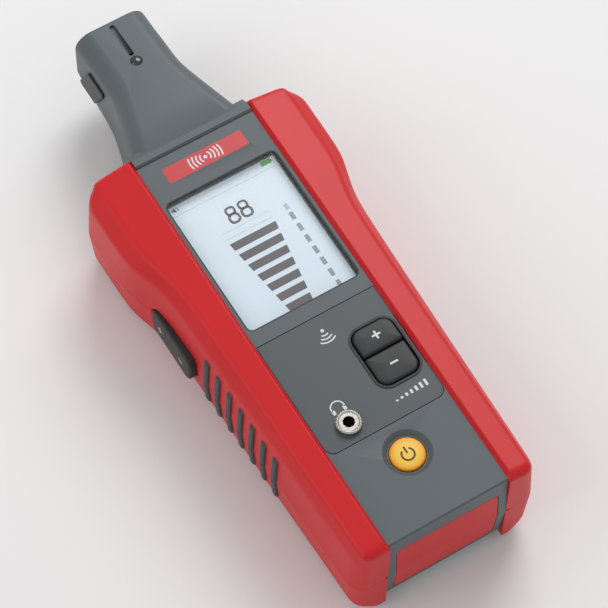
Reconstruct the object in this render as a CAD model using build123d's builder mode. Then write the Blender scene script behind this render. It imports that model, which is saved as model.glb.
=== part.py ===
"""Hand-held ultrasonic detector receiver, in millimetres.

It lies on its back: X across, Y from the heel to the nose, Z up out of the face.
The origin is at the centre of the footprint, on the plane of the back.
"""

import os
from math import radians, sqrt, tan

from build123d import *

os.makedirs("parts", exist_ok=True)

# --- Lengths along Y, from the heel up to the nose tip
heel_zone = 32.9  # heel to the lower edge of the control panel
panel_length = 40.8
panel_to_display = 4.9
display_length = 49.9  # opening in the face
forehead_length = 14.5  # display opening to the ridge
ridge_length = 3.2
nose_length = 48.8

# --- Outline at the parting line
body_width = 77.0  # across the shoulders
waist_width = 67.6
heel_width = 62.4
shoulder_from_root = 27.2  # nose root back to the shoulder
waist_from_root = 41.0
crown_corner = 7.5  # cut corner at the top of the shoulders
heel_corner = 4.2
heel_corner_length = 5.5

# --- Section through the body
face_half = 20.1  # grey face, between the two rails
face_height = 41.0
rail_rise = 1.65
rail_run = 1.2  # how far the rail's inner wall leans out
rail_slope = 11.7  # degrees, down to the outside
parting_above_well = 0.7
crease_drop = 4.5  # face down to the upper side crease
side_draft = 3.4  # degrees
handle_chamfer = 40.0  # degrees from vertical, crease up to the rail
shoulder_chamfer = 51.0
end_relief = 3.3  # the chamfer is this much smaller across the two ends
back_draft = 5.0
back_chamfer_height = 6.0
back_chamfer = 45.0

# --- Walls, gaps and general clearances
grip_wall = 2.2
case_wall = 2.0
face_wall = 2.4
back_wall = 2.4
slip = 0.3  # clearance round anything that moves or drops in
hinge_clearance = 0.05
seal_thickness = 0.8
seal_height = 1.2

# --- Display
display_half = 19.2
glass_depth = 3.0  # display glass below the face
glass_thickness = 2.4
glass_margin = 2.4
active_half = 18.36
active_end_inset = 0.47  # display opening in to the picture
window_recess = 0.6
window_thickness = 1.2
bezel_corner = 2.2
backlight_thickness = 3.0
flex_width = 16.0
flex_thickness = 0.4

# --- Badge and ridge
badge_half = 13.6
badge_length = 5.6
badge_below_ridge = 3.8
badge_thickness = 0.8
ridge_rise = 0.9

# --- Control panel and sensitivity rocker
panel_thickness = 1.2
panel_corner = 3.0
rocker_x = 11.5
rocker_width = 15.8  # outside of its surround
rocker_length = 21.8
rocker_from_panel_edge = 20.45  # panel's lower edge to the rocker's middle
rocker_corner = 4.6
surround_wall = 0.7
surround_rise = 0.3
skirt_wall = 1.0  # thicker wall of the surround under the panel
skirt_depth = 4.6
rocker_gap = 0.5
rocker_rise = 1.7
rocker_depth = 6.0  # key below the face
rocker_step = 0.7  # the plus half stands higher
rocker_tilt = 2.5  # degrees each way
pin_radius = 0.75
switch_offset = 6.0  # switches either side of a rocker's pivot
switch_size = 5.0
switch_height = 3.0
plunger_radius = 1.3
plunger_height = 0.7

# --- Headphone socket
jack_x = -9.7
jack_from_panel_edge = 6.3
jack_bore = 1.8
bushing_radius = 2.9
nut_radius = 4.0
nut_height = 1.9
nut_flutes = 24
bushing_rise = 1.5
jack_bore_depth = 13.0
jack_body_size = 9.0
jack_body_depth = 13.2

# --- Power button
power_from_heel = 22.9
dish_radius = 7.4
dish_floor_radius = 6.0
dish_depth = 1.5
power_radius = 5.3
power_flange = 1.0
power_travel = 0.7
power_top_drop = 0.6  # button top below the face
stem_radius = 1.6

# --- Volume rocker on the left side
volume_from_panel = 23.5  # above the control panel's upper edge
volume_length = 22.4
volume_height = 11.6
volume_corner = 3.0
volume_gap = 0.4
volume_below_parting = 1.8  # its middle under the parting line
volume_rise = 2.0  # out of the side
volume_depth = 5.6
volume_pin_depth = 1.8  # pivot behind the grip's skin
volume_tilt = 2.5
volume_lug = 2.2
volume_lug_half = 2.6
volume_lug_wall = 1.4  # outside of the pin's middle
volume_pin_end = 1.4  # pin beyond the key, into the case
volume_waist_radius = 2.2  # groove across the key

# --- Nose and what it carries
nose_root_half = 19.0
nose_neck_half = 12.3
nose_tip_half = 12.1
nose_neck_from_tip = 20.0
nose_corner = 5.6
nose_tip_drop = 4.6
nose_root_floor = 3.0
nose_tip_floor = 13.0
nose_wall = 2.0
nose_buried = 14.0  # how far the nose runs back into the body
nose_flare_steps = 6
nose_flare_soft = 0.15  # how gently the flare leaves the neck
nose_shank_steps = 4
slot_width = 1.8
slot_length = 13.4
slot_depth = 0.8
slot_from_tip = 1.3
lamp_radius = 1.9
lamp_from_tip = 17.1
lamp_rise = 0.35
sensor_radius = 8.0
sensor_length = 12.0
sensor_from_tip = 4.2
port_radius = 6.8
grille_recess = 0.8
grille_thickness = 1.2
grille_hole_radius = 0.8
collar_wall = 1.4
collar_length = 5.0
collar_from_tip = 7.0
pad_length = 9.8
pad_height = 13.0
pad_lean = 6.4  # the lower edge sits this much nearer the tip than the upper
pad_from_tip = 10.8  # tip to the pad's middle
pad_below_parting = 3.5
pad_proud = 0.8
pad_seat = 0.7
pad_corner = 1.2

# --- Grip ribs
rib_count = 7
rib_pitch = 6.15
rib_first_below_waist = 25.2
rib_width = 2.3
rib_proud = 1.0
rib_top_drop = 8.0  # below the face
rib_bottom = 8.5
rib_slant_front = 0.4  # lean over the front half
rib_slant_rear = 0.3

# --- Batteries, contacts and door
cell_radius = 7.1
cell_length = 49.2
cell_nub_radius = 2.75
cell_nub_length = 1.2
cell_gap = 0.6
cell_floor = 3.6  # plane of the back to the cells
contact_space = 2.4
contact_thickness = 0.5
well_wall = 1.4
well_from_heel = 16.0
door_thickness = 2.0
door_recess = 0.4  # door's outside above the plane of the back
door_tab = 7.0  # door beyond the well, for its screw
door_sag = 0.1  # gap between the door and its ledge
tongue_length = 2.4
tongue_width = 6.0
tongue_thickness = 1.2
door_swing = 60.0
door_screw_radius = 1.2
door_screw_head = 2.4
door_screw_head_height = 1.2
door_screw_length = 7.0
door_screw_from_edge = 3.6

# --- Boards
board_post_radius = 2.2
board_screw_radius = 0.85
board_screw_head = 1.7
board_screw_head_height = 1.2
board_screw_length = 6.0
board_hole_radius = 0.95
connector_height = 1.5
sensor_board_half = 9.0
lead_radius = 0.5
lead_spacing = 5.0
nose_ribbon_half = 5.0
sounder_radius = 7.0
sounder_height = 4.5
sounder_hole = 1.2
board_thickness = 1.6
board_height = 28.0
board_half = 22.5
board_neck_half = 17.0
sensor_board_length = 20.0

# --- Case screws
screw_radius = 1.4
screw_head = 2.6
screw_head_height = 1.8
screw_length = 27.0
screw_recess = 1.2
boss_wall = 1.7
heel_screw_from_door = 4.5  # well wall's outside to the screw
heel_screw_from_heel = 20.0
shoulder_screw_x = 27.4
shoulder_screw_from_root = 12.5

# --- End panel
end_panel_half = 17.3
end_panel_height = 26.5
end_panel_low = 7.5
end_panel_thickness = 1.6
end_panel_corner = 2.0
end_seam = 0.15
panel_seam = 0.25

# --- Places worked out from the sizes above
overall_length = (
    heel_zone + panel_length + panel_to_display + display_length
    + forehead_length + ridge_length + nose_length
)
heel_y = -overall_length / 2
tip_y = overall_length / 2
panel_low_y = heel_y + heel_zone
panel_high_y = panel_low_y + panel_length
display_low_y = panel_high_y + panel_to_display
display_high_y = display_low_y + display_length
display_mid_y = (display_low_y + display_high_y) / 2
ridge_low_y = display_high_y + forehead_length
root_y = ridge_low_y + ridge_length
power_y = heel_y + power_from_heel
rocker_y = panel_low_y + rocker_from_panel_edge
jack_y = panel_low_y + jack_from_panel_edge
badge_y = ridge_low_y - badge_below_ridge - badge_length / 2
waist_y = root_y - waist_from_root
crown_y = root_y + 0.6
crease_height = face_height - crease_drop
rail_height = face_height + rail_rise
face_under = face_height - face_wall
glass_top = face_height - glass_depth
board_top = board_height + board_thickness
well_low_y = heel_y + well_from_heel
cell_pitch = 2 * cell_radius + cell_gap
well_length = 2 * (cell_length + cell_nub_length) + 2 * contact_space
well_high_y = well_low_y + well_length
well_mid_y = (well_low_y + well_high_y) / 2
well_half = cell_pitch / 2 + cell_radius + cell_gap
well_ceiling = cell_floor + 2 * cell_radius + cell_gap
parting_height = well_ceiling + well_wall + parting_above_well
active_length = display_length - 2 * active_end_inset
door_low_y = well_low_y - door_tab
door_high_y = well_high_y + well_wall
door_half = well_half + well_wall
heel_screw_x = door_half + heel_screw_from_door
door_top = door_recess + door_thickness
door_screw_y = door_low_y + door_screw_from_edge
FAR = 300.0  # longer than anything here

waist_slope = (waist_width - heel_width) / 2 / (waist_y - heel_y - heel_corner_length)
shoulder_y = root_y - shoulder_from_root
shoulder_slope = (body_width - waist_width) / 2 / (shoulder_y - waist_y)
shoulder_start = 10.0  # half width where the shoulders' outline begins, inside the handle

# The outline at the parting line is two convex shapes laid over each other: the
# handle, which runs the whole length, and the shoulders. Right halves, heel to crown.
handle_points = [
    (heel_width / 2 - heel_corner, heel_y),
    (heel_width / 2, heel_y + heel_corner_length),
    (waist_width / 2 + waist_slope * (crown_y - waist_y), crown_y),
]
shoulder_points = [
    (shoulder_start, waist_y - (waist_width / 2 - shoulder_start) / shoulder_slope),
    (body_width / 2, shoulder_y),
    (body_width / 2, crown_y - crown_corner),
    (body_width / 2 - crown_corner, crown_y),
]


def save(part, name):
    """Labels a finished piece and writes it to its own file."""
    part.label = name
    export_step(part, f"parts/{name}.step")


def block(low, high):
    """Plain box between two corners, for adding or cutting."""
    size = [b - a for a, b in zip(low, high)]
    return Pos(*low) * Box(*size, align=(Align.MIN, Align.MIN, Align.MIN), mode=Mode.PRIVATE)


def rod(radius, length, at, axis="Z"):
    """Round bar from the point at, along +X, +Y or +Z."""
    turn = {"X": (0, 90, 0), "Y": (-90, 0, 0), "Z": (0, 0, 0)}[axis]
    bar = Cylinder(
        radius, length, align=(Align.CENTER, Align.CENTER, Align.MIN), mode=Mode.PRIVATE
    )
    return Pos(*at) * Rot(*turn) * bar


def outline(points, inset=0.0, relief=0.0):
    """Plan of the handle or the shoulders, moved in by inset and longer by relief at each end."""
    right = [(x, y + (relief if y > 0 else -relief)) for x, y in points]
    left = [(-x, y) for x, y in reversed(right)]
    with BuildSketch() as plan:
        with BuildLine():
            Polyline(*right, *left, close=True)
        make_face()
        if inset:
            offset(amount=-inset, kind=Kind.INTERSECTION)
    return plan.sketch


def plan(inset=0.0):
    """Whole outline at the parting line."""
    with BuildSketch() as whole:
        add(outline(handle_points, inset))
        add(outline(shoulder_points, inset))
    return whole.sketch


def tapered(points, inset, start_z, run, slope, relief=0.0):
    """Outline moved in by inset, drawn out along Z by run with leaning sides."""
    with BuildPart() as block_form:
        with BuildSketch(Plane.XY.offset(start_z)):
            add(outline(points, inset, relief))
        extrude(amount=run, taper=slope)
    return block_form.part


def upper_body(inset=0.0):
    """Body above the parting line, every outside face moved in by inset."""
    crease = crease_height - inset
    drift = (crease_height - parting_height) * tan(radians(side_draft))
    crown_depth = rail_height + 1.0 - crease
    ends = block((-FAR, heel_y + inset + drift, -FAR), (FAR, crown_y - inset - drift, FAR))
    with BuildPart() as body:
        for points, chamfer_angle in (
            (handle_points, handle_chamfer), (shoulder_points, shoulder_chamfer)
        ):
            add(tapered(points, inset, parting_height, crease - parting_height, side_draft))
            with BuildPart(mode=Mode.PRIVATE) as crown:
                add(tapered(points, inset + drift, crease, crown_depth, chamfer_angle, end_relief))
                add(tapered(points, inset + drift, crease, crown_depth, 0), mode=Mode.INTERSECT)
                add(ends, mode=Mode.INTERSECT)
            add(crown.part)
        for side in (1, -1):
            slope = Plane(
                origin=(side * (face_half + rail_run), 0, rail_height - inset),
                x_dir=(0, 1, 0),
                z_dir=(side * tan(radians(rail_slope)), 0, 1),
            )
            with BuildSketch(slope):
                Rectangle(FAR, FAR)
            extrude(amount=20, mode=Mode.SUBTRACT)
    return body.part


def lower_body(inset=0.0):
    """Body below the parting line, every outside face moved in by inset."""
    drift = (parting_height - back_chamfer_height) * tan(radians(back_draft))
    turn = back_chamfer_height + inset * 0.5
    with BuildPart() as body:
        for points in (handle_points, shoulder_points):
            add(tapered(points, inset, parting_height, turn - parting_height, back_draft))
            add(tapered(points, inset + drift, turn, inset - turn, back_chamfer))
    return body.part


def nose_top(y):
    """Height of the nose's upper surface, a straight slope down to the tip."""
    return face_height - nose_tip_drop * (y - root_y) / nose_length


def nose_half(y):
    """Half width of the nose: a straight flare back to the root, leaving the neck softly."""
    neck_y = tip_y - nose_neck_from_tip
    if y >= neck_y:
        return nose_neck_half + (nose_tip_half - nose_neck_half) * (y - neck_y) / nose_neck_from_tip
    along = min(1.0, (neck_y - y) / (neck_y - root_y))
    soft = nose_flare_soft
    blend = (sqrt(along**2 + soft**2) - soft) / (sqrt(1 + soft**2) - soft)
    return nose_neck_half + (nose_root_half - nose_neck_half) * blend


def nose_floor(y):
    """Height of the nose's underside."""
    along = max(0.0, (y - root_y) / nose_length)
    return nose_root_floor + (nose_tip_floor - nose_root_floor) * along


def nose_section(y, inset):
    """Middle height, width and height of the nose at y."""
    top = nose_top(y) - inset
    floor = nose_floor(y) + inset
    return (top + floor) / 2, 2 * (nose_half(y) - inset), top - floor


def nose(inset=0.0, end=0.0):
    """Nose as rounded sections lofted along Y, run back into the body, short of the tip by end."""
    last = tip_y - end
    neck_y = tip_y - nose_neck_from_tip
    flare = [root_y + (neck_y - root_y) * k / nose_flare_steps for k in range(nose_flare_steps)]
    shank = [neck_y + (last - neck_y) * k / nose_shank_steps for k in range(nose_shank_steps + 1)]
    corner = nose_corner - inset / 2
    with BuildPart() as body:
        for y in flare + shank:
            middle_z, width, height = nose_section(y, inset)
            with BuildSketch(Plane.XZ.offset(-y)):
                with Locations((0, middle_z)):
                    RectangleRounded(width, height, corner)
        loft()
        middle_z, width, height = nose_section(root_y, inset)
        with BuildSketch(Plane.XZ.offset(-root_y)):
            with Locations((0, middle_z)):
                RectangleRounded(width, height, corner)
        extrude(amount=nose_buried)
    return body.part


def one_side(side):
    """Everything on one side of the centre plane: 1 is the right, -1 the left."""
    low, high = sorted((0.0, side * FAR))
    return block((low, -FAR, -FAR), (high, FAR, FAR))


outer_upper = upper_body()
outer_lower = lower_body()
core_upper = upper_body(grip_wall)
core_lower = lower_body(grip_wall)
room_upper = upper_body(grip_wall + case_wall)
room_lower = lower_body(grip_wall + case_wall)
nose_form = nose()
nose_room = nose(nose_wall, end=nose_wall)
above = block((-FAR, -FAR, parting_height), (FAR, FAR, FAR))
below = block((-FAR, -FAR, -FAR), (FAR, FAR, parting_height))
middle = block((-face_half, -FAR, -FAR), (face_half, FAR, FAR))
red_floor = back_wall + 0.6  # the red stops this far above the back

# Volume rocker's place in the left wall
volume_y = panel_high_y + volume_from_panel
volume_x = -waist_width / 2 + 0.1  # the side's surface there
volume_pin_x = volume_x + grip_wall + volume_pin_depth
volume_low_z = parting_height - volume_below_parting - volume_height / 2
volume_high_z = volume_low_z + volume_height
volume_pin_top = volume_high_z + volume_gap + volume_pin_end
volume_pin_low = volume_low_z - volume_gap - volume_pin_end
volume_mid_z = (volume_low_z + volume_high_z) / 2
volume_switch_x = -board_half - board_thickness
with BuildPart() as volume_hole:
    with BuildSketch(Plane.YZ.offset(-FAR / 4)):
        with Locations((volume_y, (volume_low_z + volume_high_z) / 2)):
            RectangleRounded(
                volume_length + 2 * volume_gap, volume_height + 2 * volume_gap, volume_corner
            )
    extrude(amount=FAR / 4 - 20)

# Seat of the end panel, across both shells at the heel
with BuildPart() as end_panel_seat:
    with BuildSketch(Plane.XZ.offset(-heel_y - end_panel_thickness)):
        with Locations((0, end_panel_low + end_panel_height / 2)):
            RectangleRounded(2 * end_panel_half, end_panel_height, end_panel_corner)
    extrude(amount=10)

# Where the case screws stand, and the boss round each
screw_places = [
    (side * x, y)
    for side in (1, -1)
    for x, y in (
        (heel_screw_x, heel_y + heel_screw_from_heel),
        (shoulder_screw_x, root_y - shoulder_screw_from_root),
    )
]
boss_radius = screw_radius + boss_wall
post_places = [(-18.0, panel_low_y + 26), (18.0, panel_low_y - 1.5), (-19.0, display_high_y + 6.5),
               (19.0, display_high_y + 6.5)]

# ---------------------------------------------------------------- grips
for side, hand in ((-1, "left"), (1, "right")):
    with BuildPart() as front_grip:
        add(outer_upper)
        add(core_upper, mode=Mode.SUBTRACT)
        with BuildSketch(Plane.XZ):
            with BuildLine():
                Polyline(
                    (-face_half, 0), (face_half, 0), (face_half, face_height),
                    (face_half + 3 * rail_run, face_height + 3 * rail_rise),
                    (-face_half - 3 * rail_run, face_height + 3 * rail_rise),
                    (-face_half, face_height), close=True,
                )
            make_face()
        extrude(amount=FAR, both=True, mode=Mode.SUBTRACT)
        add(one_side(-side), mode=Mode.SUBTRACT)
        if side < 0:
            add(volume_hole.part, mode=Mode.SUBTRACT)
    save(front_grip.part, f"{hand}_front_grip")

    with BuildPart() as rear_grip:
        add(outer_lower)
        add(core_lower, mode=Mode.SUBTRACT)
        add(middle, mode=Mode.SUBTRACT)
        add(block((-FAR, -FAR, -1), (FAR, FAR, red_floor)), mode=Mode.SUBTRACT)
        add(one_side(-side), mode=Mode.SUBTRACT)
        if side < 0:
            add(volume_hole.part, mode=Mode.SUBTRACT)
    save(rear_grip.part, f"{hand}_rear_grip")

# Ribs on the grips, each in two halves that meet at an angle on the parting line
rib_top = face_height - rib_top_drop
rib_skins = {
    "front": (upper_body(-rib_proud), outer_upper, parting_height, rib_top, rib_slant_front),
    "rear": (lower_body(-rib_proud), outer_lower, parting_height, rib_bottom, -rib_slant_rear),
}
for end, (skin, inside, start_z, stop_z, slant) in rib_skins.items():
    with BuildPart() as rib_bars:
        with BuildSketch(Plane.YZ):
            for k in range(rib_count):
                y = waist_y - rib_first_below_waist - k * rib_pitch
                with BuildLine():
                    Polyline(
                        (y - rib_width / 2, start_z), (y + rib_width / 2, start_z),
                        (y + rib_width / 2 + slant, stop_z), (y - rib_width / 2 + slant, stop_z),
                        close=True,
                    )
                make_face()
        extrude(amount=FAR, both=True)
    for side, hand in ((-1, "left"), (1, "right")):
        with BuildPart() as ribs:
            add(skin)
            add(inside, mode=Mode.SUBTRACT)
            add(rib_bars.part, mode=Mode.INTERSECT)
            add(one_side(side), mode=Mode.INTERSECT)
        save(ribs.part, f"{hand}_{end}_ribs")

# ---------------------------------------------------------------- shells
lamp_y = tip_y - lamp_from_tip
sensor_z = (nose_top(tip_y) + nose_floor(tip_y)) / 2
sensor_back_y = tip_y - sensor_from_tip - sensor_length
pad_y = tip_y - pad_from_tip
pad_low_z = parting_height - pad_below_parting
pad_high_z = pad_low_z + pad_height
collar_radius = sensor_radius + collar_wall

with BuildPart() as port:
    add(rod(port_radius, FAR, (0, tip_y - nose_wall - 1, sensor_z), "Y"))
with BuildPart() as collar_wall_plate:
    add(nose(nose_wall - 0.1))
    add(
        block((-FAR, tip_y - collar_from_tip - collar_length + 1, -FAR),
              (FAR, tip_y - collar_from_tip - 1, FAR)),
        mode=Mode.INTERSECT,
    )
    add(rod(collar_radius, FAR, (0, 0, sensor_z), "Y"), mode=Mode.SUBTRACT)
with BuildPart() as pad_seats:
    for side in (1, -1):
        inner = nose_half(pad_y) - pad_seat
        with BuildSketch(Plane.YZ.offset(side * inner)):
            low_y = pad_y + pad_lean / 2
            high_y = pad_y - pad_lean / 2
            with BuildLine():
                Polyline(
                    (low_y - pad_length / 2, pad_low_z), (low_y + pad_length / 2, pad_low_z),
                    (high_y + pad_length / 2, pad_high_z), (high_y - pad_length / 2, pad_high_z),
                    close=True,
                )
            lozenge = make_face()
            fillet(lozenge.vertices(), pad_corner)
        extrude(amount=side * (pad_seat + pad_proud))
with BuildPart() as seal_ring:
    for inset, mode in ((grip_wall + 0.6, Mode.ADD), (grip_wall + 0.6 + seal_thickness, Mode.SUBTRACT)):
        with BuildSketch(Plane.XY.offset(parting_height)):
            add(plan(inset))
        extrude(amount=seal_height, mode=mode)
    add(volume_hole.part, mode=Mode.SUBTRACT)
    add(block((-nose_root_half - 1, root_y - 8, 0), (nose_root_half + 1, FAR, FAR)), mode=Mode.SUBTRACT)

with BuildPart() as front_case:
    add(core_upper)
    add(outer_upper.intersect(middle))
    add(block((-face_half, -FAR, face_height), (face_half, FAR, FAR)), mode=Mode.SUBTRACT)
    with BuildPart(mode=Mode.PRIVATE) as nose_half_shell:
        add(nose_form)
        add(above, mode=Mode.INTERSECT)
        add(block((-FAR, -FAR, face_height), (FAR, root_y, FAR)), mode=Mode.SUBTRACT)
    add(nose_half_shell.part)
    with BuildSketch(Plane.YZ):
        with BuildLine():
            Polyline(
                (ridge_low_y, face_height - 1), (ridge_low_y, face_height + ridge_rise * 0.4),
                (ridge_low_y + 0.6, face_height + ridge_rise), (root_y - 0.4, face_height + ridge_rise),
                (root_y + 2.4, nose_top(root_y + 2.4) - 1), close=True,
            )
        make_face()
    extrude(amount=face_half, both=True)
    add(room_upper - block((-FAR, -FAR, face_under), (FAR, FAR, FAR)), mode=Mode.SUBTRACT)
    add(nose_room, mode=Mode.SUBTRACT)
    add(collar_wall_plate.part.intersect(above))
    with BuildPart(mode=Mode.PRIVATE) as front_bosses:
        for x, y in screw_places:
            add(rod(boss_radius, FAR, (x, y, parting_height)))
        for x, y in post_places:
            add(rod(board_post_radius, FAR, (x, y, board_top)))
        add(block((volume_pin_x - volume_lug_wall, volume_y - volume_lug_half, volume_high_z + volume_gap),
                  (volume_pin_x + volume_lug, volume_y + volume_lug_half,
                   volume_high_z + volume_gap + volume_lug)))
        add(core_upper, mode=Mode.INTERSECT)
        add(block((-FAR, -FAR, face_height - 0.5), (FAR, FAR, FAR)), mode=Mode.SUBTRACT)
    add(front_bosses.part)
    for x, y in screw_places:
        add(rod(screw_radius, screw_length - 10, (x, y, parting_height)), mode=Mode.SUBTRACT)
    for x, y in post_places:
        add(rod(board_screw_radius, board_screw_length - 1.0, (x, y, board_top)), mode=Mode.SUBTRACT)
    # display opening
    with BuildSketch(Plane.XY.offset(face_under - 1)):
        with Locations((0, display_mid_y)):
            RectangleRounded(2 * display_half, display_length, bezel_corner)
    extrude(amount=FAR, mode=Mode.SUBTRACT)
    # seat of the control panel, square at the top and rounded at the bottom
    with BuildSketch(Plane.XY.offset(face_height - panel_thickness)):
        with Locations((0, (panel_low_y + panel_high_y) / 2)):
            panel_seat_outline = Rectangle(2 * face_half - 0.2, panel_length)
        fillet(panel_seat_outline.vertices().group_by(Axis.Y)[0], panel_corner)
    extrude(amount=FAR, mode=Mode.SUBTRACT)
    # badge seat
    with BuildSketch(Plane.XY.offset(face_height - badge_thickness)):
        with Locations((0, badge_y)):
            RectangleRounded(2 * badge_half, badge_length, 0.5)
    extrude(amount=FAR, mode=Mode.SUBTRACT)
    # rocker, socket and power openings
    with BuildSketch(Plane.XY.offset(face_under - 1)):
        with Locations((rocker_x, rocker_y)):
            RectangleRounded(
                rocker_width + 2 * skirt_wall, rocker_length + 2 * skirt_wall, rocker_corner
            )
    extrude(amount=FAR, mode=Mode.SUBTRACT)
    add(rod(bushing_radius, FAR, (jack_x, jack_y, face_under - 1)), mode=Mode.SUBTRACT)
    add(rod(power_radius + slip, FAR, (0, power_y, face_under - 1)), mode=Mode.SUBTRACT)
    with BuildSketch(Plane.XY.offset(face_height - dish_depth)):
        with Locations((0, power_y)):
            Circle(dish_floor_radius)
    with BuildSketch(Plane.XY.offset(face_height)):
        with Locations((0, power_y)):
            Circle(dish_radius)
    loft(mode=Mode.SUBTRACT)
    # nose: slot, lamp hole, port and pads
    with BuildSketch(Plane.XY.offset(nose_top(tip_y) - slot_depth)):
        with Locations((0, tip_y - slot_from_tip - slot_length / 2)):
            RectangleRounded(slot_width, slot_length, slot_width / 2 - 0.05)
    extrude(amount=FAR, mode=Mode.SUBTRACT)
    add(rod(lamp_radius, FAR, (0, lamp_y, sensor_z + collar_radius + 1)), mode=Mode.SUBTRACT)
    add(port.part, mode=Mode.SUBTRACT)
    add(pad_seats.part, mode=Mode.SUBTRACT)
    # seal groove, volume opening and end panel
    add(seal_ring.part, mode=Mode.SUBTRACT)
    add(volume_hole.part, mode=Mode.SUBTRACT)
    add(rod(pin_radius, FAR, (volume_pin_x, volume_y, parting_height))
        - block((-FAR, -FAR, volume_pin_top), (FAR, FAR, FAR)), mode=Mode.SUBTRACT)
    add(end_panel_seat.part, mode=Mode.SUBTRACT)
save(front_case.part, "front_case")

with BuildPart() as rear_case:
    add(core_lower)
    add(outer_lower.intersect(middle))
    add(outer_lower.intersect(block((-FAR, -FAR, -1), (FAR, FAR, red_floor))))
    with BuildPart(mode=Mode.PRIVATE) as lower_nose_shell:
        add(nose_form)
        add(below, mode=Mode.INTERSECT)
    add(lower_nose_shell.part)
    add(room_lower, mode=Mode.SUBTRACT)
    with BuildSketch(Plane.XY.offset(back_wall)):
        add(plan(grip_wall + case_wall + back_chamfer_height + 1))
    extrude(amount=grip_wall + case_wall - back_wall + 0.1, mode=Mode.SUBTRACT)
    add(nose_room, mode=Mode.SUBTRACT)
    add(collar_wall_plate.part.intersect(below))
    add(pad_seats.part, mode=Mode.SUBTRACT)
    with BuildPart(mode=Mode.PRIVATE) as rear_bosses:
        for x, y in screw_places:
            add(rod(boss_radius, parting_height, (x, y, 0)))
            add(rod(screw_head + 1.5, screw_recess + screw_head_height + 1.6, (x, y, 0)))
        add(block((volume_pin_x - volume_lug_wall, volume_y - volume_lug_half,
                   volume_low_z - volume_gap - volume_lug),
                  (volume_pin_x + volume_lug, volume_y + volume_lug_half, volume_low_z - volume_gap)))
        add(outer_lower, mode=Mode.INTERSECT)
        add(block((-FAR, -FAR, -1), (FAR, FAR, back_wall - 0.5)), mode=Mode.SUBTRACT)
        add(
            core_lower + block((-waist_width / 3, -FAR, 0), (waist_width / 3, FAR, 8)),
            mode=Mode.INTERSECT,
        )
    add(rear_bosses.part)
    # battery well, open through the back, with a ledge for the door
    add(block((-door_half - slip - 1.4, door_low_y - slip - 1.4, 1.0),
              (door_half + slip + 1.4, door_high_y + slip + 1.4, well_ceiling + well_wall)))
    add(block((-well_half, well_low_y, -1), (well_half, well_high_y, well_ceiling)), mode=Mode.SUBTRACT)
    add(block((-well_half, door_low_y - slip - 3, 6.5 + door_screw_length),
              (well_half, well_low_y - well_wall, FAR)), mode=Mode.SUBTRACT)
    add(block((-door_half - slip, door_low_y - slip, -1),
              (door_half + slip, door_high_y + slip, door_top + door_sag)), mode=Mode.SUBTRACT)
    # room for the door's tongues behind its far edge
    for x in (-well_half / 2, well_half / 2):
        add(
            block((x - tongue_width / 2 - slip, door_high_y - 4.0, door_top),
                  (x + tongue_width / 2 + slip, door_high_y + tongue_length + 2.5, door_top + 4.5)),
            mode=Mode.SUBTRACT,
        )
    # screws
    add(rod(door_screw_radius + slip, door_screw_length + 1, (0, door_screw_y, 0)), mode=Mode.SUBTRACT)
    for x, y in screw_places:
        add(rod(screw_radius + 0.2, FAR, (x, y, -1)), mode=Mode.SUBTRACT)
        add(rod(screw_head + 0.2, 1 + screw_recess + screw_head_height, (x, y, -1)), mode=Mode.SUBTRACT)
    add(port.part, mode=Mode.SUBTRACT)
    add(volume_hole.part, mode=Mode.SUBTRACT)
    add(rod(pin_radius, FAR, (volume_pin_x, volume_y, volume_pin_low)), mode=Mode.SUBTRACT)
    add(end_panel_seat.part, mode=Mode.SUBTRACT)
save(rear_case.part, "rear_case")

save(seal_ring.part, "case_seal")

with BuildPart() as end_panel:
    add(outer_upper + outer_lower)
    with BuildSketch(Plane.XZ.offset(-heel_y - end_panel_thickness)):
        with Locations((0, end_panel_low + end_panel_height / 2)):
            RectangleRounded(
                2 * (end_panel_half - end_seam), end_panel_height - 2 * end_seam, end_panel_corner
            )
    extrude(amount=10, mode=Mode.INTERSECT)
save(end_panel.part, "end_panel")

# ---------------------------------------------------------------- nose pieces
for side, hand in ((-1, "left"), (1, "right")):
    with BuildPart() as pad:
        add(pad_seats.part)
        add(one_side(side), mode=Mode.INTERSECT)
    save(pad.part, f"{hand}_nose_pad")

with BuildPart() as lamp_lens:
    lamp_top = nose_top(lamp_y) + lamp_rise
    add(rod(lamp_radius, lamp_top - sensor_z - collar_radius - 1, (0, lamp_y, sensor_z + collar_radius + 1)))
    fillet(lamp_lens.faces().sort_by(Axis.Z)[-1].edges(), 0.9)
save(lamp_lens.part, "lamp_lens")

with BuildPart() as ultrasonic_sensor:
    add(rod(sensor_radius, sensor_length, (0, sensor_back_y, sensor_z), "Y"))
    front = ultrasonic_sensor.faces().sort_by(Axis.Y)[-1]
    with BuildSketch(Plane(front)):
        Circle(sensor_radius - 1.0)
    extrude(amount=-1.6, mode=Mode.SUBTRACT)
save(ultrasonic_sensor.part, "ultrasonic_sensor")

with BuildPart() as sensor_collar:
    start = (0, tip_y - collar_from_tip - collar_length, sensor_z)
    add(rod(collar_radius, collar_length, start, "Y"))
    add(rod(sensor_radius, collar_length, start, "Y"), mode=Mode.SUBTRACT)
save(sensor_collar.part, "sensor_collar")

with BuildPart() as sensor_grille:
    grille_y = tip_y - grille_recess
    with BuildSketch(Plane.XZ.offset(-grille_y)):
        with Locations((0, sensor_z)):
            Circle(port_radius)
            Circle(grille_hole_radius, mode=Mode.SUBTRACT)
            for ring, count in ((2.2, 6), (4.6, 12)):
                with PolarLocations(ring, count):
                    Circle(grille_hole_radius, mode=Mode.SUBTRACT)
    extrude(amount=grille_thickness)
save(sensor_grille.part, "sensor_grille")

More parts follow.
